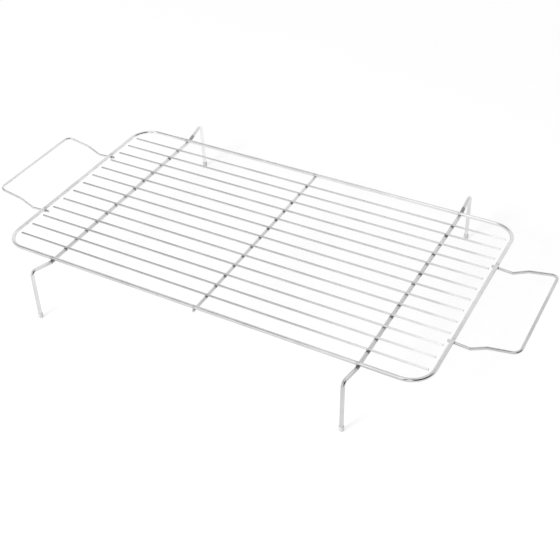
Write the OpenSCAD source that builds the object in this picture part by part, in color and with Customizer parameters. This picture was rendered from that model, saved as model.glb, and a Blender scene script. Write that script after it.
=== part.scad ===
// Wire cooling rack: a ring frame and a row of slats, welded on top of two leg wires and a centre
// wire, with a lifting handle welded under each end of the ring. X runs along the slats, Y across
// them with the front at -Y, and the floor is at Z = 0. A bend radius is to the middle of the wire.

/* [Ring frame] */
// Length of the ring frame over its wire
ring_length = 484; // [400:1:600]
// Width of the ring frame over its wire
ring_width = 264; // [220:1:320]
// Diameter of the ring frame's wire
ring_wire = 4; // [3:0.1:5]
// Bend radius of the ring's corners
corner_radius = 24; // [14:1:36]

/* [Slats] */
// Number of slats
slat_count = 13; // [9:2:17]
// Diameter of a slat
slat_wire = 2.2; // [1.6:0.1:3]
// Distance from the ring's side wire to the nearest slat, between their middles
slat_margin = 22; // [16:0.5:28]
// Gap between a slat's end and the ring
slat_end_gap = 3.7; // [3.5:0.1:8]
// Height of the top of the slats over the floor
rack_height = 55.6; // [45:0.1:80]

/* [Welds and wire ends] */
// Depth to which one wire is set into another where they are welded
weld_set = 0.4; // [0.2:0.05:0.6]
// Chamfer on a free end of wire
end_chamfer = 0.3; // [0.1:0.05:0.5]
// How much thinner the wire is drawn through a bend
bend_neck = 0.02; // [0.02:0.01:0.06]
// How far a straight stretch laps into the bend next to it, so that the two are one wire
bend_lap = 0.2; // [0.1:0.05:0.3]

/* [Centre wire] */
// Diameter of the centre wire
center_diameter = 3.2; // [2.5:0.1:4]
// How far the centre wire reaches past the ring on each side
center_tip = 1; // [0.5:0.1:4]

/* [Leg wires] */
// Diameter of a leg wire
leg_diameter = 4; // [3:0.1:5]
// Distance from the ring's end wire to a leg wire, between their middles
leg_inset = 65; // [45:1:100]
// Distance from the middle of the ring's side wire to the corner where a leg wire turns up
shoulder_start = 3.5; // [3.5:0.5:8]
// Distance from the middle of the ring's side wire to the corner of the shoulder
shoulder_reach = 32; // [27:0.5:42]
// Rise of the shoulder's corner over the level stretch of the leg wire
shoulder_rise = 8.2; // [4:0.1:12]
// Bend radius where a leg wire turns up
rise_bend = 8; // [6:0.5:10]
// Bend radius of the shoulder
shoulder_bend = 4.5; // [3.5:0.5:8]
// How far a foot stands outside the corner of its shoulder
foot_splay = 2; // [0.5:0.5:12]

/* [Foot caps] */
// Thickness of a foot cap's wall round the wire
cap_wall = 0.6; // [0.4:0.05:0.9]
// Thickness of a foot cap under the end of the wire
cap_floor = 1.2; // [0.8:0.1:2]
// Height of a foot cap along the wire
cap_height = 6; // [4.5:0.1:9]
// Radius of the rounded end of a foot cap
cap_dome = 3.2; // [3:0.1:4]
// Diameter of the flat that a foot cap stands on
cap_flat = 3.4; // [2.4:0.1:4]
// Height of the tapered lip at the top of a foot cap
cap_lip = 0.8; // [0.4:0.1:1.2]
// How much the lip narrows the wall
cap_lip_taper = 0.3; // [0.1:0.05:0.35]

/* [Handles] */
// Diameter of the handle wire
handle_diameter = 3; // [2.5:0.1:4]
// Distance between the middles of the two arms of a handle
handle_spacing = 124; // [90:1:150]
// How far an arm's tip reaches past the inside of the ring
handle_tip = 3.4; // [1:0.1:3.4]
// Distance from the middle of the ring's end wire to the foot of an arm's kink
handle_flat = 17; // [12:0.5:24]
// How far an arm dips from the ring to the foot of its kink
handle_dip = 1.3; // [0.5:0.1:2]
// Length of the kink that lifts an arm
kink_length = 15.5; // [12:0.5:20]
// Lift of an arm over the kink
kink_lift = 7.6; // [6:0.1:10]
// Distance from the ring's end wire to the grip, between their middles
handle_reach = 62; // [56:0.5:80]
// Rise of the arm from the end of the kink to the grip
grip_rise = 5.3; // [1:0.1:6.5]
// Bend radius of the kink
kink_bend = 4; // [3:0.5:6]
// Bend radius between an arm and the grip
grip_bend = 7; // [5:0.5:12]

/* [Hidden] */
$fn = 48;

// Middle lines of the ring, and the pattern of slats between its sides
ring_half_x = (ring_length - ring_wire) / 2;
ring_half_y = (ring_width - ring_wire) / 2;
slat_pitch = 2 * (ring_half_y - slat_margin) / (slat_count - 1);
slat_length = ring_length - 2 * ring_wire - 2 * slat_end_gap;

// Heights of the wires: ring and slats rest on the leg wires and the centre wire
slat_z = rack_height - slat_wire / 2;
rest_z = rack_height - slat_wire;
ring_z = rest_z + ring_wire / 2;
leg_z = rest_z + weld_set - leg_diameter / 2;
center_z = rest_z + weld_set - center_diameter / 2;
arm_z = rest_z + weld_set - handle_diameter / 2;

// Length that a bend takes off each of the two straight lines that meet in its corner
function bend_trim(turn, radius) = radius * tan(turn / 2);

// Leg wire: level under the grid, up to the shoulder, then down to the foot
shoulder_z = leg_z + shoulder_rise;
leg_x = ring_half_x - leg_inset;
rise_turn = atan2(shoulder_rise, shoulder_reach - shoulder_start);
leg_lean = atan2(foot_splay, shoulder_z);
shoulder_turn = rise_turn + 90 - leg_lean;
rise_trim = bend_trim(rise_turn, rise_bend);
shoulder_trim = bend_trim(shoulder_turn, shoulder_bend);
level_half = ring_half_y + shoulder_start - rise_trim;
rise_length = norm([shoulder_reach - shoulder_start, shoulder_rise]) - rise_trim - shoulder_trim;
leg_length = norm([foot_splay, shoulder_z]) - shoulder_trim - cap_floor;

// Handle: from the grip round a corner into the arm, down the kink and gently up under the ring
grip_x = ring_half_x + handle_reach;
grip_z = arm_z - handle_dip + kink_lift + grip_rise;
grip_half = handle_spacing / 2 - grip_bend;
slope_length = handle_reach - handle_flat - kink_length;
slope_turn = atan2(grip_rise, slope_length);
kink_turn = atan2(kink_lift, kink_length);
dip_turn = atan2(handle_dip, handle_flat);
upper_trim = bend_trim(kink_turn - slope_turn, kink_bend);
lower_trim = bend_trim(kink_turn + dip_turn, kink_bend);
arm_length = norm([slope_length, grip_rise]) - grip_bend - upper_trim;
kink_run = norm([kink_length, kink_lift]) - upper_trim - lower_trim;
tip_length = (handle_flat + ring_wire / 2 + handle_tip) / cos(dip_turn) - lower_trim;

// Bends of each wire in order, with the stretch that follows: [roll, turn, radius, length]
ring_side_x = 2 * (ring_half_x - corner_radius);
ring_side_y = 2 * (ring_half_y - corner_radius);
ring_steps = [
    [90, 90, corner_radius, ring_side_y],
    [0, 90, corner_radius, ring_side_x],
    [0, 90, corner_radius, ring_side_y],
    [0, 90, corner_radius, 0]
];
leg_steps = [
    [-90, rise_turn, rise_bend, rise_length],
    [180, shoulder_turn, shoulder_bend, leg_length]
];
handle_steps = [
    [180 - slope_turn, 90, grip_bend, arm_length],
    [-90, kink_turn - slope_turn, kink_bend, kink_run],
    [180, kink_turn + dip_turn, kink_bend, tip_length]
];

// Foot cap, measured along its wire with the end of the wire at 0
cap_radius = leg_diameter / 2 + cap_wall;
cap_dome_middle = cap_floor - sqrt(pow(cap_dome, 2) - pow(cap_flat / 2, 2));
cap_top = cap_floor - cap_height;

function slat_y(i) = (i - (slat_count + 1) / 2) * slat_pitch;
function slat_name(i) = str("slat_", i < 10 ? "0" : "", i);

// Straight wire centred on Z, with both ends cut and chamfered
module cut_wire(length, diameter) {
    half = length / 2;
    radius = diameter / 2;
    rotate_extrude()
        polygon([
            [0, -half],
            [radius - end_chamfer, -half],
            [radius, end_chamfer - half],
            [radius, half - end_chamfer],
            [radius - end_chamfer, half],
            [0, half]
        ]);
}

// Straight stretch up Z between two bends
module lapped_stretch(length, diameter) {
    translate([0, 0, -bend_lap])
        cylinder(h = length + 2 * bend_lap, d = diameter);
}

// Last stretch up Z, from a bend to a free end
module end_stretch(length, diameter) {
    radius = diameter / 2;
    rotate_extrude()
        polygon([
            [0, -bend_lap],
            [radius, -bend_lap],
            [radius, length - end_chamfer],
            [radius - end_chamfer, length],
            [0, length]
        ]);
}

// Bend that starts up Z and turns towards X
module wire_bend(turn, radius, diameter) {
    translate([radius, 0, 0])
        rotate([90, 0, 180])
            rotate_extrude(angle = turn)
                translate([radius, 0])
                    circle(d = diameter - bend_neck);
}

// Puts its children where such a bend ends
module past_bend(turn, radius) {
    translate([radius, 0, 0])
        rotate([0, turn, 0])
            translate([-radius, 0, 0])
                children();
}

// Wire that leaves the origin up Z and follows a list of steps
module bent_wire(steps, diameter, i = 0) {
    turn = steps[i][1];
    radius = steps[i][2];
    length = steps[i][3];
    last = i == len(steps) - 1;
    rotate([0, 0, steps[i][0]]) {
        wire_bend(turn, radius, diameter);
        past_bend(turn, radius) {
            if (!last) {
                lapped_stretch(length, diameter);
                translate([0, 0, length])
                    bent_wire(steps, diameter, i + 1);
            }
            if (last && length > 0)
                end_stretch(length, diameter);
        }
    }
}

// Puts its children at the far end of the wire that follows a list of steps
module at_wire_end(steps, i = 0) {
    rotate([0, 0, steps[i][0]])
        past_bend(steps[i][1], steps[i][2])
            translate([0, 0, steps[i][3]]) {
                if (i < len(steps) - 1)
                    at_wire_end(steps, i + 1)
                        children();
                else
                    children();
            }
}

// Puts its children at the front, or at the rear, as a mirror image of each other
module on_side(rear) {
    mirror([0, rear ? 0 : 1, 0])
        children();
}

// Puts its children at the right, or at the left, as a mirror image of each other
module on_end(right) {
    mirror([right ? 0 : 1, 0, 0])
        children();
}

module ring_shape() {
    translate([-ring_side_x / 2, -ring_half_y, ring_z])
        rotate([0, 90, 0]) {
            lapped_stretch(ring_side_x, ring_wire);
            translate([0, 0, ring_side_x])
                bent_wire(ring_steps, ring_wire);
        }
}

module slat_shape(i) {
    translate([0, slat_y(i), slat_z])
        rotate([0, 90, 0])
            cut_wire(slat_length, slat_wire);
}

module all_slats() {
    for (i = [1 : slat_count])
        slat_shape(i);
}

// Start of the bent part of a leg wire, at the rear end of its level stretch
module at_leg_start() {
    translate([leg_x, level_half, leg_z])
        rotate([-90, 0, 0])
            children();
}

module leg_shape() {
    translate([leg_x, -level_half, leg_z])
        rotate([-90, 0, 0])
            lapped_stretch(2 * level_half, leg_diameter);
    for (rear = [true, false])
        on_side(rear)
            at_leg_start()
                bent_wire(leg_steps, leg_diameter);
}

module handle_shape() {
    translate([grip_x, -grip_half, grip_z])
        rotate([-90, 0, 0])
            lapped_stretch(2 * grip_half, handle_diameter);
    for (rear = [true, false])
        on_side(rear)
            translate([grip_x, grip_half, grip_z])
                rotate([-90, 0, 0])
                    bent_wire(handle_steps, handle_diameter);
}

// Foot cap round the end of its wire: tapered lip, straight wall and rounded end, with a socket
module cap_shape() {
    difference() {
        union() {
            rotate_extrude()
                polygon([
                    [0, cap_top],
                    [cap_radius - cap_lip_taper, cap_top],
                    [cap_radius, cap_top + cap_lip],
                    [cap_radius, cap_dome_middle],
                    [0, cap_dome_middle]
                ]);
            intersection() {
                translate([0, 0, cap_dome_middle])
                    cylinder(h = cap_dome, r = cap_radius);
                translate([0, 0, cap_dome_middle])
                    sphere(r = cap_dome);
            }
        }
        translate([0, 0, -cap_height])
            cylinder(h = cap_height, d = leg_diameter);
    }
}

// Everything below the floor, which cuts the foot caps flat
module below_floor() {
    depth = cap_dome;
    translate([-ring_length, -ring_length, -depth])
        cube([2 * ring_length, 2 * ring_length, depth]);
}

module frame_ring() {
    color("silver")
        ring_shape();
}

module slat(i) {
    color("silver")
        slat_shape(i);
}

module center_wire() {
    color("silver")
        difference() {
            translate([0, 0, center_z])
                rotate([90, 0, 0])
                    cut_wire(ring_width + 2 * center_tip, center_diameter);
            all_slats();
            ring_shape();
        }
}

module leg_wire(right) {
    color("silver")
        difference() {
            on_end(right)
                leg_shape();
            all_slats();
            ring_shape();
        }
}

module foot_cap(right, rear) {
    color("gainsboro")
        difference() {
            on_end(right)
                on_side(rear)
                    at_leg_start()
                        at_wire_end(leg_steps)
                            cap_shape();
            below_floor();
        }
}

module handle(right) {
    color("silver")
        difference() {
            on_end(right)
                handle_shape();
            ring_shape();
        }
}

frame_ring();
for (i = [1 : slat_count])
    slat(i);
center_wire();
leg_wire(right = false);  // leg_wire_left
leg_wire(right = true);  // leg_wire_right
foot_cap(right = false, rear = false);  // foot_cap_front_left
foot_cap(right = true, rear = false);  // foot_cap_front_right
foot_cap(right = false, rear = true);  // foot_cap_rear_left
foot_cap(right = true, rear = true);  // foot_cap_rear_right
handle(right = false);  // handle_left
handle(right = true);  // handle_right
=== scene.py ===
import math

import bmesh
import bpy
from mathutils import Matrix, Vector, noise


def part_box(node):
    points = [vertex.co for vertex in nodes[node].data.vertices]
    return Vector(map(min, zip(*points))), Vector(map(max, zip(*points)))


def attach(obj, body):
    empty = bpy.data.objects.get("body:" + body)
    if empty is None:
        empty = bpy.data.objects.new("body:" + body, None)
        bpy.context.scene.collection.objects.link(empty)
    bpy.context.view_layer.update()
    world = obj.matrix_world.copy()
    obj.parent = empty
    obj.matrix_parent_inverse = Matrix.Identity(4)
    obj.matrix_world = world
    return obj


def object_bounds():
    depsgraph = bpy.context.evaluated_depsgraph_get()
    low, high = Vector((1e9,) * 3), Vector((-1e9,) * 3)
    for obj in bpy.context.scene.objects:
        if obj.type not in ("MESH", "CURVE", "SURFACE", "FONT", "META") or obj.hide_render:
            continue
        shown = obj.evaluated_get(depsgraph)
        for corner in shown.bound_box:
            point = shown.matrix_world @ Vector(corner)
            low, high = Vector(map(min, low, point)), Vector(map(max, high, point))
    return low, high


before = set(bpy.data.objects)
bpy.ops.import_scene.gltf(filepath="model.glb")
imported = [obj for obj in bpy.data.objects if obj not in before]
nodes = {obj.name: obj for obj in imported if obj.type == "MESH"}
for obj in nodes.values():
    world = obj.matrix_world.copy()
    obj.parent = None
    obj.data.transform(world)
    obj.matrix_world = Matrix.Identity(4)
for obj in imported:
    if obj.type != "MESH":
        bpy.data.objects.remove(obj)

cad_low, cad_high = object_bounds()

# Camera, in metres and degrees
AZIMUTH = 29.74
ELEVATION = 39.13
ROLL = -2.08
DISTANCE = 1.0396
AIM_RIGHT = 0.0213
AIM_UP = -0.0466
LENS = 62.92
SENSOR = 36.0

# Welds: how deep the wires sink into each other, and the bead that is squeezed out round each crossing
WELD_SET = 0.0004
ARM_DIAMETER = 0.003
BEAD_RADIUS = 0.00042
BEAD_UNEVENNESS = 0.22
BEAD_GRAIN = 1400.0
BEAD_STEPS = 28
BEAD_SIDES = 10

# How closely the curve of a crossing is found, and what keeps a division by zero out of it
CURVE_HALVINGS = 40
LEAST_SHARE = 1e-9

# Plated wire: brightness of the plating on each kind of wire, and where and how much it varies, with
# painted highlights on the slats, painted light toward the left and rear, and painted shade on the leg
# wires under the slats
SLAT_TONE = 0.70
# Painted highlight on the slats toward the front right corner
SLAT_PAINTED_HIGHLIGHT = 0.17
SLAT_HIGHLIGHT_RIGHT = (0.07, 0.17)
SLAT_HIGHLIGHT_FRONT = (-0.09, 0.03)
# Painted highlight at the slats' right cut ends
SLAT_END_HIGHLIGHT = 0.18
SLAT_END_HIGHLIGHT_FADE = (0.203, 0.222)
RING_TONE = 0.82
# Painted shade on the leg wires' stretch under the slats; painted light on the front legs, lighter than the
# rear ones
SHADED_CROSS_TONE = 0.74
LEG_FRONT_TONE = 0.88
LEG_REAR_TONE = 0.78
LEG_FADE_START = 0.004
LEG_FRONT_FADE = 0.034
LEG_REAR_FADE = 0.016
HANDLE_TONE = 0.76
# Painted light: tones lighter toward the left end and the rear of the rack
LEG_WIRE_PAINTED_LEFT_LIGHT = 0.40
RING_PAINTED_LEFT_LIGHT = 0.32
HANDLE_PAINTED_LEFT_LIGHT = 0.55
PAINTED_REAR_LIGHT = 0.60
RING_PAINTED_REAR_LIGHT = 0.25
TONE_MOST = 0.95
GREEN_SHARE = 0.996
TONE_SPREAD = 0.06
EDGE_TINT = (0.80, 0.797, 0.80, 1.0)

# Texture of the plated wire: noise scales per metre, lengths in metres
ALONG_X = (18.0, 1500.0, 1500.0)
ALONG_Y = (1500.0, 18.0, 1500.0)
ALONG_BENDS = (240.0, 240.0, 900.0)
PATCH_SCALE = 34.0
RIPPLE_SCALE = 60.0
GRAIN_SCALE = 2600.0
LINE_SHARE = 0.5
UNEVEN_RANGE = (0.55, 0.95)
NOISE_RANGE = (0.3, 0.7)
RIPPLE_HEIGHT = 0.00008
GRAIN_HEIGHT = 0.000002
WIRE_BUMP = 0.35
SLAT_GLOSS = (0.24, 0.34)
CROSS_GLOSS = (0.13, 0.24)
RING_GLOSS = (0.12, 0.21)
HANDLE_GLOSS = (0.13, 0.24)

# Scorch at the welds, and on the cross wires painted shade as well: its color, its reach along each kind of
# wire and its share there, and its ragged edge
SCORCH_AND_SHADE_COLOR = (0.13, 0.127, 0.124, 1.0)
SLAT_SCORCH = (0.0022, 0.15)
# On the cross wires this is weld scorch and painted shade in front of each slat
CROSS_SCORCH_AND_SHADE = (0.0025, 0.88)
RING_SCORCH = (0.003, 0.25)
HANDLE_SCORCH = (0.003, 0.7)
SCORCH_CORE = 0.35
SCORCH_LEAST = 0.6
SCORCH_GRAIN = 0.0012
SCORCH_SPREAD_SCALE = 75.0
SCORCH_SPREAD = (-0.0010, 0.0008)
SCORCH_ROUGHNESS = 0.1

# Painted shade lies a little in front of each slat on the wire below it, and scorch is shorter at a slat's
# cut end
PAINTED_SHADE_AHEAD = 0.0010
SLAT_END_SHORTER = 2.4

# Painted shade on a stretch of a leg wire outside the ring, in front and behind: how far its middle lies
# past the ring, and half its length. The centre wire has none there, and the left leg wire has smaller
# scorch and painted shade at the slats.
MIDDLE_CHANGE = (-0.01, 0.01)
PAINTED_SHADE_FRONT_STRETCH = (0.0016, 0.0012)
PAINTED_SHADE_REAR_STRETCH = (0.0080, 0.0034)
CENTER_UNSHADED = 0.006
LEFT_SMALLER_SCORCH_AND_SHADE = 0.0012

# The left half of the ring's sides is duller than its corners and its right half
RING_DULL = 0.16
RING_DULL_LEFT = (0.030, 0.050)
RING_DULL_RIGHT = (0.0, 0.10)

# Weld beads: colors, and the strength and depth of their mottled skin
WELD_DARK = (0.26, 0.255, 0.25, 1.0)
WELD_LIGHT = (0.48, 0.475, 0.47, 1.0)
WELD_SCALE = 900.0
WELD_GLOSS = (0.32, 0.5)
WELD_BUMP = 0.5
WELD_DEPTH = 0.0001

# Foot caps: colors, and the strength and depth of their fine skin
VINYL_LIGHT = (0.58, 0.58, 0.585, 1.0)
VINYL_DARK = (0.50, 0.50, 0.505, 1.0)
VINYL_CLOUD_SCALE = 420.0
VINYL_PEEL_SCALE = 2400.0
VINYL_GLOSS = (0.38, 0.52)
VINYL_BUMP = 0.4
VINYL_DEPTH = 0.00008

# Studio floor and lamp. A pair of numbers is where a level starts to change and where it has changed.
WHITE = (1.0, 1.0, 1.0, 1.0)
FLOOR_SIZE = 12.0
FLOOR_DROP = 0.0002
FLOOR_COLOR = (0.97, 0.97, 0.97, 1.0)
FLOOR_SHADE_SHARE = 0.40
FLOOR_SHADE_FADE = (0.40, 1.20)
# In reflections the floor glows, with painted shade that dims it toward the front
FLOOR_FORWARD = (-0.1, -0.9, 0.0)
FLOOR_FADE = (-0.1, 0.36)
FLOOR_REAR = 1.0
FLOOR_FRONT_PAINTED_SHADE = 0.52
KEY_PLACE = (-0.45, -1.5, 1.1)
KEY_SIZE = 0.6
KEY_POWER = 23.0

# Room round the rack. What shows in the wires is set by direction: the edges of a round patch are cosines
# of the angle from its middle, the sides of the curtain are angles in radians, and the rest are X, Y or Z.
AMBIENT = 0.82
WALL_FADE = (0.56, 0.76)
WALL_FOOT = 1.0
WALL_TOP = 0.72
DARK_CEILING = (-0.60, -0.16, 0.784)
DARK_CEILING_EDGES = (0.80, 0.93)
DARK_CEILING_LEVEL = 0.47
DARK_CEILING_END = (-0.38, -0.19)
CURTAIN_RIGHT = (-1.03, -0.93)
CURTAIN_LEFT = (0.30, 0.60)
CURTAIN_FOOT = (-0.25, 0.0)
CURTAIN_TOP = (0.93, 0.985)
CURTAIN_LEVEL = 0.02
GAP_RIGHT = (0.10, 0.17)
GAP_LEFT = (-0.06, 0.0)
GAP_REAR = (-0.55, -0.35)
GAP_LEVEL = 0.2
DIM_WALL = (0.78, 0.52, 0.35)
DIM_WALL_EDGES = (0.86, 0.97)
DIM_WALL_LEVEL = 0.84
FRONT_LIGHT_LEVEL = 0.6
FRONT_LIGHT_LEFT = (-0.40, -0.29)
FRONT_LIGHT_RIGHT = (-0.12, 0.02)
FRONT_LIGHT_TOP = (-0.1, 0.4)
FRONT_LIGHT_FOOT = (0.56, 0.66)
TOP_LIGHT = (0.40, 0.05, 0.915)
TOP_LIGHT_EDGES = (0.94, 0.985)
TOP_LIGHT_LEVEL = 0.6


class Graph:
    """Adds nodes to one node tree with short calls, most of which give back an output socket."""

    def __init__(self, tree):
        self.tree = tree
        tree.nodes.clear()

    def add(self, kind, inputs=None, **settings):
        made = self.tree.nodes.new(kind)
        for name, value in settings.items():
            setattr(made, name, value)
        for name, value in (inputs or {}).items():
            self.feed(made.inputs[name], value)
        return made

    def feed(self, socket, value):
        if isinstance(value, bpy.types.NodeSocket):
            self.tree.links.new(value, socket)
        else:
            socket.default_value = value

    def math(self, operation, first, second=0.0, third=0.0):
        return self.add("ShaderNodeMath", {0: first, 1: second, 2: third}, operation=operation).outputs[0]

    def mix_color(self, share, first, second):
        made = self.add("ShaderNodeMix", data_type="RGBA")
        for place, value in {0: share, 6: first, 7: second}.items():
            self.feed(made.inputs[place], value)
        return made.outputs[2]

    def remap(self, value, low, high, to_low, to_high, smooth=False):
        kind = "SMOOTHSTEP" if smooth else "LINEAR"
        inputs = {"Value": value, 1: low, 2: high, 3: to_low, 4: to_high}
        return self.add("ShaderNodeMapRange", inputs, interpolation_type=kind).outputs[0]

    def noise(self, vector, scale, detail=2.0):
        inputs = {"Vector": vector, "Scale": scale, "Detail": detail}
        return self.add("ShaderNodeTexNoise", inputs).outputs["Fac"]

    def mix_number(self, share, first, second):
        return self.add("ShaderNodeMix", {0: share, 2: first, 3: second}, data_type="FLOAT").outputs[0]

    def dot(self, vector, direction):
        made = self.add("ShaderNodeVectorMath", {0: vector, 1: direction}, operation="DOT_PRODUCT")
        return made.outputs["Value"]

    def patch(self, direction, center, edges, outside, inside):
        """A round soft patch of a level of its own round one direction."""
        return self.remap(self.dot(direction, center), *edges, outside, inside, smooth=True)

    def band(self, value, rise, fall):
        """1 between two soft edges and 0 outside them."""
        risen = self.remap(value, *rise, 0.0, 1.0, smooth=True)
        return self.math("MULTIPLY", risen, self.remap(value, *fall, 1.0, 0.0, smooth=True))

    def stretched(self, vector, scale):
        return self.add("ShaderNodeMapping", {"Vector": vector, "Scale": scale}).outputs[0]


def new_material(name):
    material = bpy.data.materials.new(name)
    material.use_nodes = True
    return material, Graph(material.node_tree)


def middle(low, high):
    return (low + high) / 2


# Sizes of the wires, read from the frame
slat_names = sorted(name for name in nodes if name.startswith("slat_"))
slat_low, slat_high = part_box(slat_names[0])
slat_radius = (slat_high.z - slat_low.z) / 2
slat_z = middle(slat_low.z, slat_high.z)
slat_rows = [middle(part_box(name)[0].y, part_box(name)[1].y) for name in slat_names]
slat_pitch = (slat_rows[-1] - slat_rows[0]) / (len(slat_rows) - 1)
rest_z = slat_low.z
ring_low, ring_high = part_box("frame_ring")
ring_radius = (ring_high.z - ring_low.z) / 2
ring_z = middle(ring_low.z, ring_high.z)
ring_x = ring_high.x - ring_radius
ring_y = ring_high.y - ring_radius
leg_low, leg_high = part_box("leg_wire_right")
leg_radius = (leg_high.x - leg_low.x) / 2
leg_x = middle(leg_low.x, leg_high.x)
center_low, center_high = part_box("center_wire")
center_radius = (center_high.x - center_low.x) / 2
arm_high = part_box("handle_right")[1]
arm_radius = ARM_DIAMETER / 2
arm_y = arm_high.y - arm_radius


# Materials
def weld_distance_slat(graph, x, y):
    """Distance along a slat to its nearest weld, or to its cut end."""
    side = graph.math("ABSOLUTE", x)
    to_leg = graph.math("ABSOLUTE", graph.math("SUBTRACT", side, leg_x))
    to_end = graph.math("MULTIPLY", graph.math("SUBTRACT", slat_high.x, side), SLAT_END_SHORTER)
    return graph.math("MINIMUM", graph.math("MINIMUM", side, to_leg), to_end)


def weld_and_shade_distance_cross(graph, x, y):
    """Distance along a cross wire to the scorch and painted shade in front of the nearest slat, or to the
    stretch of painted shade at the ring.
    """
    side = graph.math("ABSOLUTE", y)
    before = graph.math("ABSOLUTE", graph.math("ADD", y, PAINTED_SHADE_AHEAD))
    to_row = graph.math("PINGPONG", before, slat_pitch / 2)
    past_rows = graph.math("SUBTRACT", before, slat_rows[-1])
    to_slat = graph.math("MAXIMUM", to_row, past_rows)
    to_slat = graph.math("ADD", to_slat, graph.remap(x, -leg_x, 0.0, LEFT_SMALLER_SCORCH_AND_SHADE, 0.0))
    # Painted shade on the leg wire just outside the ring, in front and behind
    front_middle = ring_y + PAINTED_SHADE_FRONT_STRETCH[0]
    rear_middle = ring_y + PAINTED_SHADE_REAR_STRETCH[0]
    shaded_middle = graph.remap(y, *MIDDLE_CHANGE, front_middle, rear_middle)
    shaded_half = graph.remap(y, *MIDDLE_CHANGE, PAINTED_SHADE_FRONT_STRETCH[1], PAINTED_SHADE_REAR_STRETCH[1])
    to_shaded = graph.math("ABSOLUTE", graph.math("SUBTRACT", side, shaded_middle))
    unshaded_center = graph.remap(graph.math("ABSOLUTE", x), 0.0, leg_x, CENTER_UNSHADED, 0.0)
    to_ring = graph.math("ADD", graph.math("SUBTRACT", to_shaded, shaded_half), unshaded_center)
    return graph.math("MINIMUM", to_slat, to_ring)


def weld_distance_ring(graph, x, y):
    """Distance along the ring to the nearest cross wire or handle arm."""
    side = graph.math("ABSOLUTE", x)
    to_leg = graph.math("ABSOLUTE", graph.math("SUBTRACT", side, leg_x))
    to_arm = graph.math("ABSOLUTE", graph.math("SUBTRACT", graph.math("ABSOLUTE", y), arm_y))
    return graph.math("MINIMUM", graph.math("MINIMUM", side, to_leg), to_arm)


def weld_distance_handle(graph, x, y):
    """Distance along a handle arm to the ring."""
    return graph.math("ABSOLUTE", graph.math("SUBTRACT", graph.math("ABSOLUTE", x), ring_x))


def painted_light_drift(graph, base, x, across, y, rise):
    """A tone with painted light: a little brighter toward the left end and the rear of the rack."""
    rear = graph.math("MULTIPLY_ADD", y, rise, 1.0)
    return graph.math("MULTIPLY", base, graph.math("MULTIPLY_ADD", x, -across, rear))


def slat_tone(graph, x, y):
    """Slat plating tone, with a painted highlight toward the front right corner and at the right cut ends,
    and painted light toward the rear.
    """
    right = graph.remap(x, *SLAT_HIGHLIGHT_RIGHT, 0.0, SLAT_PAINTED_HIGHLIGHT, smooth=True)
    front = graph.remap(y, *SLAT_HIGHLIGHT_FRONT, 1.0, 0.0, smooth=True)
    painted_highlight = graph.math("MULTIPLY", right, front)
    tone_with_rear_light = painted_light_drift(graph, SLAT_TONE, x, 0.0, y, PAINTED_REAR_LIGHT)
    # Painted highlight at the slats' right cut ends
    end = graph.remap(x, *SLAT_END_HIGHLIGHT_FADE, 0.0, SLAT_END_HIGHLIGHT, smooth=True)
    return graph.math("MINIMUM", graph.math("ADD", tone_with_rear_light, graph.math("ADD", painted_highlight, end)), TONE_MOST)


# Ring tone with painted light toward the left end and the rear
def ring_tone(graph, x, y):
    return painted_light_drift(graph, RING_TONE, x, RING_PAINTED_LEFT_LIGHT, y, RING_PAINTED_REAR_LIGHT)


def leg_wire_tone(graph, x, y):
    """Painted shade: the leg wires are darker along the stretch inside the ring, under the slats, than on
    the legs outside it; painted light: the front legs are lighter than the rear ones.
    """
    side = graph.math("ABSOLUTE", y)
    leg = graph.remap(y, -ring_y, ring_y, LEG_FRONT_TONE, LEG_REAR_TONE)
    fade_end = graph.remap(y, -ring_y, ring_y, ring_y + LEG_FRONT_FADE, ring_y + LEG_REAR_FADE)
    tone = graph.remap(side, ring_y + LEG_FADE_START, fade_end, SHADED_CROSS_TONE, leg, smooth=True)
    return painted_light_drift(graph, tone, x, LEG_WIRE_PAINTED_LEFT_LIGHT, y, PAINTED_REAR_LIGHT)


def ring_dullness(graph, x, y):
    """Added roughness of the ring, on the left half of its sides."""
    from_end = graph.remap(graph.math("ADD", x, ring_x), *RING_DULL_LEFT, 0.0, RING_DULL, smooth=True)
    return graph.math("MULTIPLY", from_end, graph.remap(x, *RING_DULL_RIGHT, 1.0, 0.0, smooth=True))


# Handle tone with painted light toward the left end
def handle_tone(graph, x, y):
    return painted_light_drift(graph, HANDLE_TONE, x, HANDLE_PAINTED_LEFT_LIGHT, y, 0.0)


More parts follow.
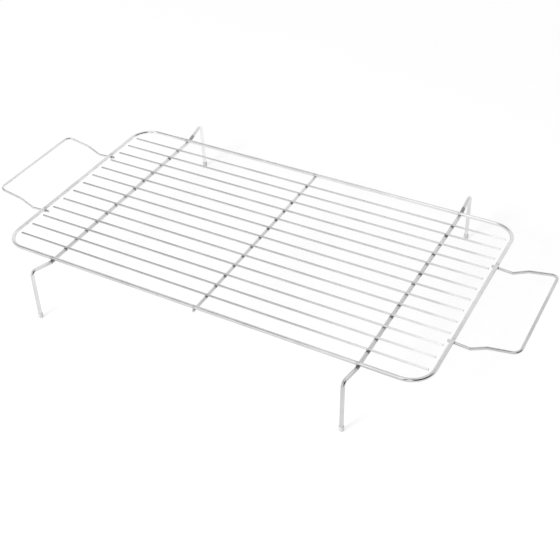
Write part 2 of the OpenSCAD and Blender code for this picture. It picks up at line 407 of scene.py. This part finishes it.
def plated_wire(name, base_tone, draw_scale, weld_distance, scorch_and_shade_setting, gloss, dullness=None):
    """Bright plated steel: drawing lines along the wire, uneven plating with painted light and shade in its
    tone, a scorched patch at each weld, and on the cross wires painted shade in front of each slat and
    beside the ring.
    """
    scorch_and_shade_reach, scorch_and_shade_share = scorch_and_shade_setting
    material, graph = new_material(name)
    place = graph.add("ShaderNodeTexCoord").outputs["Object"]
    split = graph.add("ShaderNodeSeparateXYZ", {0: place})
    patches = graph.noise(place, PATCH_SCALE, detail=3.0)
    lines = graph.noise(graph.stretched(place, draw_scale), 1.0)
    grain = graph.noise(place, GRAIN_SCALE, detail=1.0)
    ripple = graph.noise(place, RIPPLE_SCALE, detail=1.0)

    x = split.outputs["X"]
    y = split.outputs["Y"]
    uneven = graph.math("ADD", patches, graph.math("MULTIPLY", lines, LINE_SHARE))
    change = graph.remap(uneven, *UNEVEN_RANGE, -TONE_SPREAD, TONE_SPREAD)
    tone = graph.math("ADD", base_tone(graph, x, y), change)
    green = graph.math("MULTIPLY", tone, GREEN_SHARE)
    plate = graph.add("ShaderNodeCombineColor", {"Red": tone, "Green": green, "Blue": tone}).outputs[0]

    distance = weld_distance(graph, x, y)
    spread = graph.noise(place, SCORCH_SPREAD_SCALE, detail=1.0)
    ragged = graph.math("MULTIPLY", graph.math("SUBTRACT", grain, 0.5), SCORCH_GRAIN)
    edge = graph.math("ADD", distance, ragged)
    edge = graph.math("ADD", edge, graph.remap(spread, *NOISE_RANGE, *SCORCH_SPREAD))
    # Scorch at the welds, and on the cross wires painted shade in front of each slat and beside the ring
    scorch_and_shade_mask = graph.remap(edge, scorch_and_shade_reach * SCORCH_CORE, scorch_and_shade_reach, 1.0, 0.0, smooth=True)
    share = graph.remap(spread, *NOISE_RANGE, scorch_and_shade_share, scorch_and_shade_share * SCORCH_LEAST)
    color = graph.mix_color(graph.math("MULTIPLY", scorch_and_shade_mask, share), plate, SCORCH_AND_SHADE_COLOR)

    drawn = graph.remap(lines, *NOISE_RANGE, *gloss)
    roughness = graph.math("ADD", drawn, graph.math("MULTIPLY", scorch_and_shade_mask, SCORCH_ROUGHNESS))
    if dullness:
        roughness = graph.math("ADD", roughness, dullness(graph, x, y))
    ripple_height = graph.math("MULTIPLY", ripple, RIPPLE_HEIGHT)
    grain_height = graph.math("MULTIPLY", grain, GRAIN_HEIGHT)
    height = graph.math("ADD", ripple_height, grain_height)
    bump = graph.add("ShaderNodeBump", {"Strength": WIRE_BUMP, "Distance": 1.0, "Height": height})

    shader = graph.add("ShaderNodeBsdfPrincipled", {
        "Base Color": color, "Metallic": 1.0, "Roughness": roughness, "Specular Tint": EDGE_TINT,
        "Normal": bump.outputs[0],
    })
    graph.add("ShaderNodeOutputMaterial", {"Surface": shader.outputs[0]})
    return material


def weld_metal():
    """Metal squeezed out at a weld: darker and duller than the plating, mottled."""
    material, graph = new_material("weld_metal")
    place = graph.add("ShaderNodeTexCoord").outputs["Object"]
    mottle = graph.noise(place, WELD_SCALE, detail=4.0)
    color = graph.mix_color(graph.remap(mottle, *NOISE_RANGE, 0.0, 1.0), WELD_DARK, WELD_LIGHT)
    roughness = graph.remap(mottle, *NOISE_RANGE, *WELD_GLOSS)
    bump = graph.add("ShaderNodeBump", {"Strength": WELD_BUMP, "Distance": WELD_DEPTH, "Height": mottle})
    shader = graph.add("ShaderNodeBsdfPrincipled", {
        "Base Color": color, "Metallic": 1.0, "Roughness": roughness, "Normal": bump.outputs[0],
    })
    graph.add("ShaderNodeOutputMaterial", {"Surface": shader.outputs[0]})
    return material


def soft_vinyl():
    """Pale grey dipped vinyl with a fine orange-peel skin."""
    material, graph = new_material("soft_vinyl")
    place = graph.add("ShaderNodeTexCoord").outputs["Object"]
    cloud = graph.noise(place, VINYL_CLOUD_SCALE)
    peel = graph.noise(place, VINYL_PEEL_SCALE)
    color = graph.mix_color(graph.remap(cloud, *NOISE_RANGE, 0.0, 1.0), VINYL_DARK, VINYL_LIGHT)
    roughness = graph.remap(peel, *NOISE_RANGE, *VINYL_GLOSS)
    bump = graph.add("ShaderNodeBump", {"Strength": VINYL_BUMP, "Distance": VINYL_DEPTH, "Height": peel})
    shader = graph.add("ShaderNodeBsdfPrincipled", {
        "Base Color": color, "Roughness": roughness, "Normal": bump.outputs[0],
    })
    graph.add("ShaderNodeOutputMaterial", {"Surface": shader.outputs[0]})
    return material


slat_plate = plated_wire("slat_plate", slat_tone, ALONG_X, weld_distance_slat, SLAT_SCORCH, SLAT_GLOSS)
cross_plate = plated_wire(
    "cross_plate", leg_wire_tone, ALONG_Y, weld_and_shade_distance_cross, CROSS_SCORCH_AND_SHADE, CROSS_GLOSS
)
ring_plate = plated_wire(
    "ring_plate", ring_tone, ALONG_BENDS, weld_distance_ring, RING_SCORCH, RING_GLOSS, ring_dullness
)
handle_plate = plated_wire(
    "handle_plate", handle_tone, ALONG_BENDS, weld_distance_handle, HANDLE_SCORCH, HANDLE_GLOSS
)
bead_metal = weld_metal()
cap_vinyl = soft_vinyl()

FINISH = {
    "slat_": slat_plate,
    "center_": cross_plate,
    "leg_": cross_plate,
    "frame_": ring_plate,
    "handle_": handle_plate,
    "foot_": cap_vinyl,
}
for name, node in nodes.items():
    finish = next(material for start, material in FINISH.items() if name.startswith(start))
    for index in range(len(node.data.materials)):
        node.data.materials[index] = finish


# Weld beads
def crossing_curve(upper_radius, lower_radius):
    """The closed curve where a wire along x sinks into a wire along y below it, from the upper axis."""
    gap = upper_radius + lower_radius - WELD_SET
    points = []
    for step in range(BEAD_STEPS):
        angle = 2 * math.pi * step / BEAD_STEPS
        along = abs(math.cos(angle))
        across = abs(math.sin(angle))
        near = 0.0
        far = min(lower_radius / max(along, LEAST_SHARE), upper_radius / max(across, LEAST_SHARE))
        for _ in range(CURVE_HALVINGS):
            reach = (near + far) / 2
            upper = math.sqrt(max(upper_radius ** 2 - (reach * across) ** 2, 0.0))
            lower = math.sqrt(max(lower_radius ** 2 - (reach * along) ** 2, 0.0))
            if upper + lower > gap:
                near = reach
            else:
                far = reach
        points.append(Vector((reach * math.cos(angle), reach * math.sin(angle), -upper)))
    return points


def add_bead(mesh, place, turn, upper_radius, lower_radius):
    """One closed bead round a crossing, a little uneven in thickness."""
    curve = [place + turn @ point for point in crossing_curve(upper_radius, lower_radius)]
    rings = []
    for step, point in enumerate(curve):
        ahead = curve[(step + 1) % BEAD_STEPS]
        behind = curve[step - 1]
        along = (ahead - behind).normalized()
        outward = point - place
        outward -= along * outward.dot(along)
        outward.normalize()
        side = along.cross(outward)
        uneven = 1 + BEAD_UNEVENNESS * noise.noise(point * BEAD_GRAIN)
        ring = []
        for corner in range(BEAD_SIDES):
            angle = 2 * math.pi * corner / BEAD_SIDES
            offset = outward * math.cos(angle) + side * math.sin(angle)
            ring.append(mesh.verts.new(point + offset * BEAD_RADIUS * uneven))
        rings.append(ring)
    for step in range(BEAD_STEPS):
        ring = rings[step]
        after = rings[(step + 1) % BEAD_STEPS]
        for corner in range(BEAD_SIDES):
            beside = (corner + 1) % BEAD_SIDES
            mesh.faces.new((ring[corner], after[corner], after[beside], ring[beside]))


def weld_piece(name, crossings):
    """A piece that holds the beads of several crossings."""
    mesh = bmesh.new()
    for place, turn, upper_radius, lower_radius in crossings:
        add_bead(mesh, place, turn, upper_radius, lower_radius)
    bmesh.ops.recalc_face_normals(mesh, faces=mesh.faces)
    for face in mesh.faces:
        face.smooth = True
    data = bpy.data.meshes.new(name)
    mesh.to_mesh(data)
    mesh.free()
    data.materials.append(bead_metal)
    piece = bpy.data.objects.new(name, data)
    bpy.context.scene.collection.objects.link(piece)
    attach(piece, "root")


STRAIGHT = Matrix.Identity(3)
TURNED = Matrix.Rotation(math.pi / 2, 3, "Z")
for side, x, lower_radius in (
    ("left", -leg_x, leg_radius), ("center", 0.0, center_radius), ("right", leg_x, leg_radius)
):
    crossings = [(Vector((x, y, slat_z)), STRAIGHT, slat_radius, lower_radius) for y in slat_rows]
    crossings += [(Vector((x, y, ring_z)), STRAIGHT, ring_radius, lower_radius) for y in (-ring_y, ring_y)]
    weld_piece("welds_" + side, crossings)
for side, x in (("left", -ring_x), ("right", ring_x)):
    crossings = [(Vector((x, y, ring_z)), TURNED, ring_radius, arm_radius) for y in (-arm_y, arm_y)]
    weld_piece("welds_handle_" + side, crossings)


# Studio
def studio_ray(graph):
    """1 for what is seen straight, in metal or through glass, and 0 for light that falls on the object."""
    path = graph.add("ShaderNodeLightPath").outputs
    seen = graph.math("MAXIMUM", path["Is Camera Ray"], path["Is Glossy Ray"])
    return graph.math("MAXIMUM", seen, path["Is Transmission Ray"])


def make_world():
    """A white room. In the wires it shows a dimmer ceiling, a dark curtain and gap, and two soft lights."""
    world = bpy.data.worlds.new("studio")
    bpy.context.scene.world = world
    world.use_nodes = True
    graph = Graph(world.node_tree)
    path = graph.add("ShaderNodeLightPath").outputs
    outward = graph.add("ShaderNodeTexCoord").outputs["Generated"]
    split = graph.add("ShaderNodeSeparateXYZ", {0: outward}).outputs
    ceiling_end = graph.remap(split["X"], *DARK_CEILING_END, 0.0, 1.0)
    walls = graph.remap(split["Z"], *WALL_FADE, WALL_FOOT, WALL_TOP)
    ceiling = graph.patch(outward, DARK_CEILING, DARK_CEILING_EDGES, 1.0, DARK_CEILING_LEVEL)
    ceiling = graph.math("MULTIPLY", walls, graph.mix_number(ceiling_end, ceiling, 1.0))
    azimuth = graph.math("ARCTAN2", split["Y"], split["X"])
    curtain = graph.band(azimuth, CURTAIN_RIGHT, CURTAIN_LEFT)
    curtain = graph.math("MULTIPLY", curtain, graph.band(split["Z"], CURTAIN_FOOT, CURTAIN_TOP))
    gap = graph.remap(split["Y"], *GAP_REAR, 1.0, 0.0, smooth=True)
    gap = graph.math("MULTIPLY", gap, graph.band(split["X"], GAP_LEFT, GAP_RIGHT))
    behind_curtain = graph.mix_number(curtain, 1.0, CURTAIN_LEVEL)
    dark = graph.math("MULTIPLY", behind_curtain, graph.mix_number(gap, 1.0, GAP_LEVEL))
    dim_wall = graph.patch(outward, DIM_WALL, DIM_WALL_EDGES, 1.0, DIM_WALL_LEVEL)
    from_left = graph.remap(split["X"], *FRONT_LIGHT_LEFT, 0.0, FRONT_LIGHT_LEVEL, smooth=True)
    to_right = graph.remap(split["X"], *FRONT_LIGHT_RIGHT, 1.0, 0.0, smooth=True)
    to_top = graph.remap(split["Y"], *FRONT_LIGHT_TOP, 1.0, 0.0, smooth=True)
    to_foot = graph.remap(split["Z"], *FRONT_LIGHT_FOOT, 0.0, 1.0, smooth=True)
    front_light = graph.math("MULTIPLY", from_left, graph.math("MULTIPLY", to_right, to_top))
    front_light = graph.math("MULTIPLY", front_light, to_foot)
    top_light = graph.patch(outward, TOP_LIGHT, TOP_LIGHT_EDGES, 0.0, TOP_LIGHT_LEVEL)
    shade = graph.math("MULTIPLY", dark, dim_wall)
    room = graph.math("MULTIPLY", graph.math("ADD", ceiling, front_light), shade)
    room = graph.math("ADD", room, top_light)
    mirrored = graph.math("MAXIMUM", path["Is Glossy Ray"], path["Is Transmission Ray"])
    lit = graph.mix_number(mirrored, AMBIENT, room)
    strength = graph.mix_number(path["Is Camera Ray"], lit, 1.0)
    background = graph.add("ShaderNodeBackground", {"Color": WHITE, "Strength": strength})
    graph.add("ShaderNodeOutputWorld", {"Surface": background.outputs[0]})


def make_floor():
    """A pale floor that reads as white, keeps a faint shadow, shows in reflections a glow with painted
    shade toward the front, and lets a view from below through.
    """
    half = FLOOR_SIZE / 2
    data = bpy.data.meshes.new("floor")
    corners = [(-half, -half, 0), (half, -half, 0), (half, half, 0), (-half, half, 0)]
    data.from_pydata(corners, [], [(0, 1, 2, 3)])
    floor = bpy.data.objects.new("floor", data)
    floor.location.z = cad_low.z - FLOOR_DROP
    bpy.context.scene.collection.objects.link(floor)
    material, graph = new_material("floor_white")
    paper = graph.add("ShaderNodeBsdfDiffuse", {"Color": FLOOR_COLOR})
    place = graph.add("ShaderNodeNewGeometry").outputs["Position"]
    # Painted shade: the glow the wires see dims toward the front
    forward = graph.dot(place, FLOOR_FORWARD)
    glow_with_painted_shade = graph.remap(forward, *FLOOR_FADE, FLOOR_REAR, FLOOR_FRONT_PAINTED_SHADE, smooth=True)
    is_glossy = graph.add("ShaderNodeLightPath").outputs["Is Glossy Ray"]
    level = graph.mix_number(is_glossy, 1.0, glow_with_painted_shade)
    glow = graph.add("ShaderNodeEmission", {"Color": WHITE, "Strength": level})
    distance = graph.add("ShaderNodeVectorMath", {0: place}, operation="LENGTH").outputs["Value"]
    white = graph.remap(distance, *FLOOR_SHADE_FADE, 1 - FLOOR_SHADE_SHARE, 1.0, smooth=True)
    share = graph.math("MULTIPLY", studio_ray(graph), white)
    above = graph.add("ShaderNodeMixShader", {0: share, 1: paper.outputs[0], 2: glow.outputs[0]})
    clear = graph.add("ShaderNodeBsdfTransparent")
    under = graph.add("ShaderNodeNewGeometry").outputs["Backfacing"]
    surface = graph.add("ShaderNodeMixShader", {0: under, 1: above.outputs[0], 2: clear.outputs[0]})
    graph.add("ShaderNodeOutputMaterial", {"Surface": surface.outputs[0]})
    data.materials.append(material)


def softbox(name, place, size, power):
    """A soft square lamp that faces the middle of the rack."""
    lamp = bpy.data.lights.new(name, "AREA")
    lamp.shape = "SQUARE"
    lamp.size = size
    lamp.energy = power
    holder = bpy.data.objects.new(name, lamp)
    holder.location = place
    holder.rotation_mode = "QUATERNION"
    holder.rotation_quaternion = (Vector((0, 0, rest_z)) - Vector(place)).to_track_quat("-Z", "Y")
    holder.visible_camera = False
    holder.visible_glossy = False
    bpy.context.scene.collection.objects.link(holder)


def make_camera():
    azimuth = math.radians(AZIMUTH)
    elevation = math.radians(ELEVATION)
    roll = math.radians(ROLL)
    back = Vector((
        math.sin(azimuth) * math.cos(elevation),
        -math.cos(azimuth) * math.cos(elevation),
        math.sin(elevation),
    ))
    level_right = Vector((0, 0, 1)).cross(back).normalized()
    level_up = back.cross(level_right)
    right = level_right * math.cos(roll) + level_up * math.sin(roll)
    up = back.cross(right)
    place = Vector((0, 0, slat_z)) + back * DISTANCE + right * AIM_RIGHT + up * AIM_UP
    data = bpy.data.cameras.new("camera")
    data.lens = LENS
    data.sensor_width = SENSOR
    camera = bpy.data.objects.new("camera", data)
    camera.matrix_world = Matrix.Translation(place) @ Matrix((right, up, back)).transposed().to_4x4()
    bpy.context.scene.collection.objects.link(camera)
    bpy.context.scene.camera = camera


make_world()
make_floor()
softbox("key_softbox", KEY_PLACE, KEY_SIZE, KEY_POWER)
make_camera()
bpy.context.scene.view_settings.view_transform = "Standard"
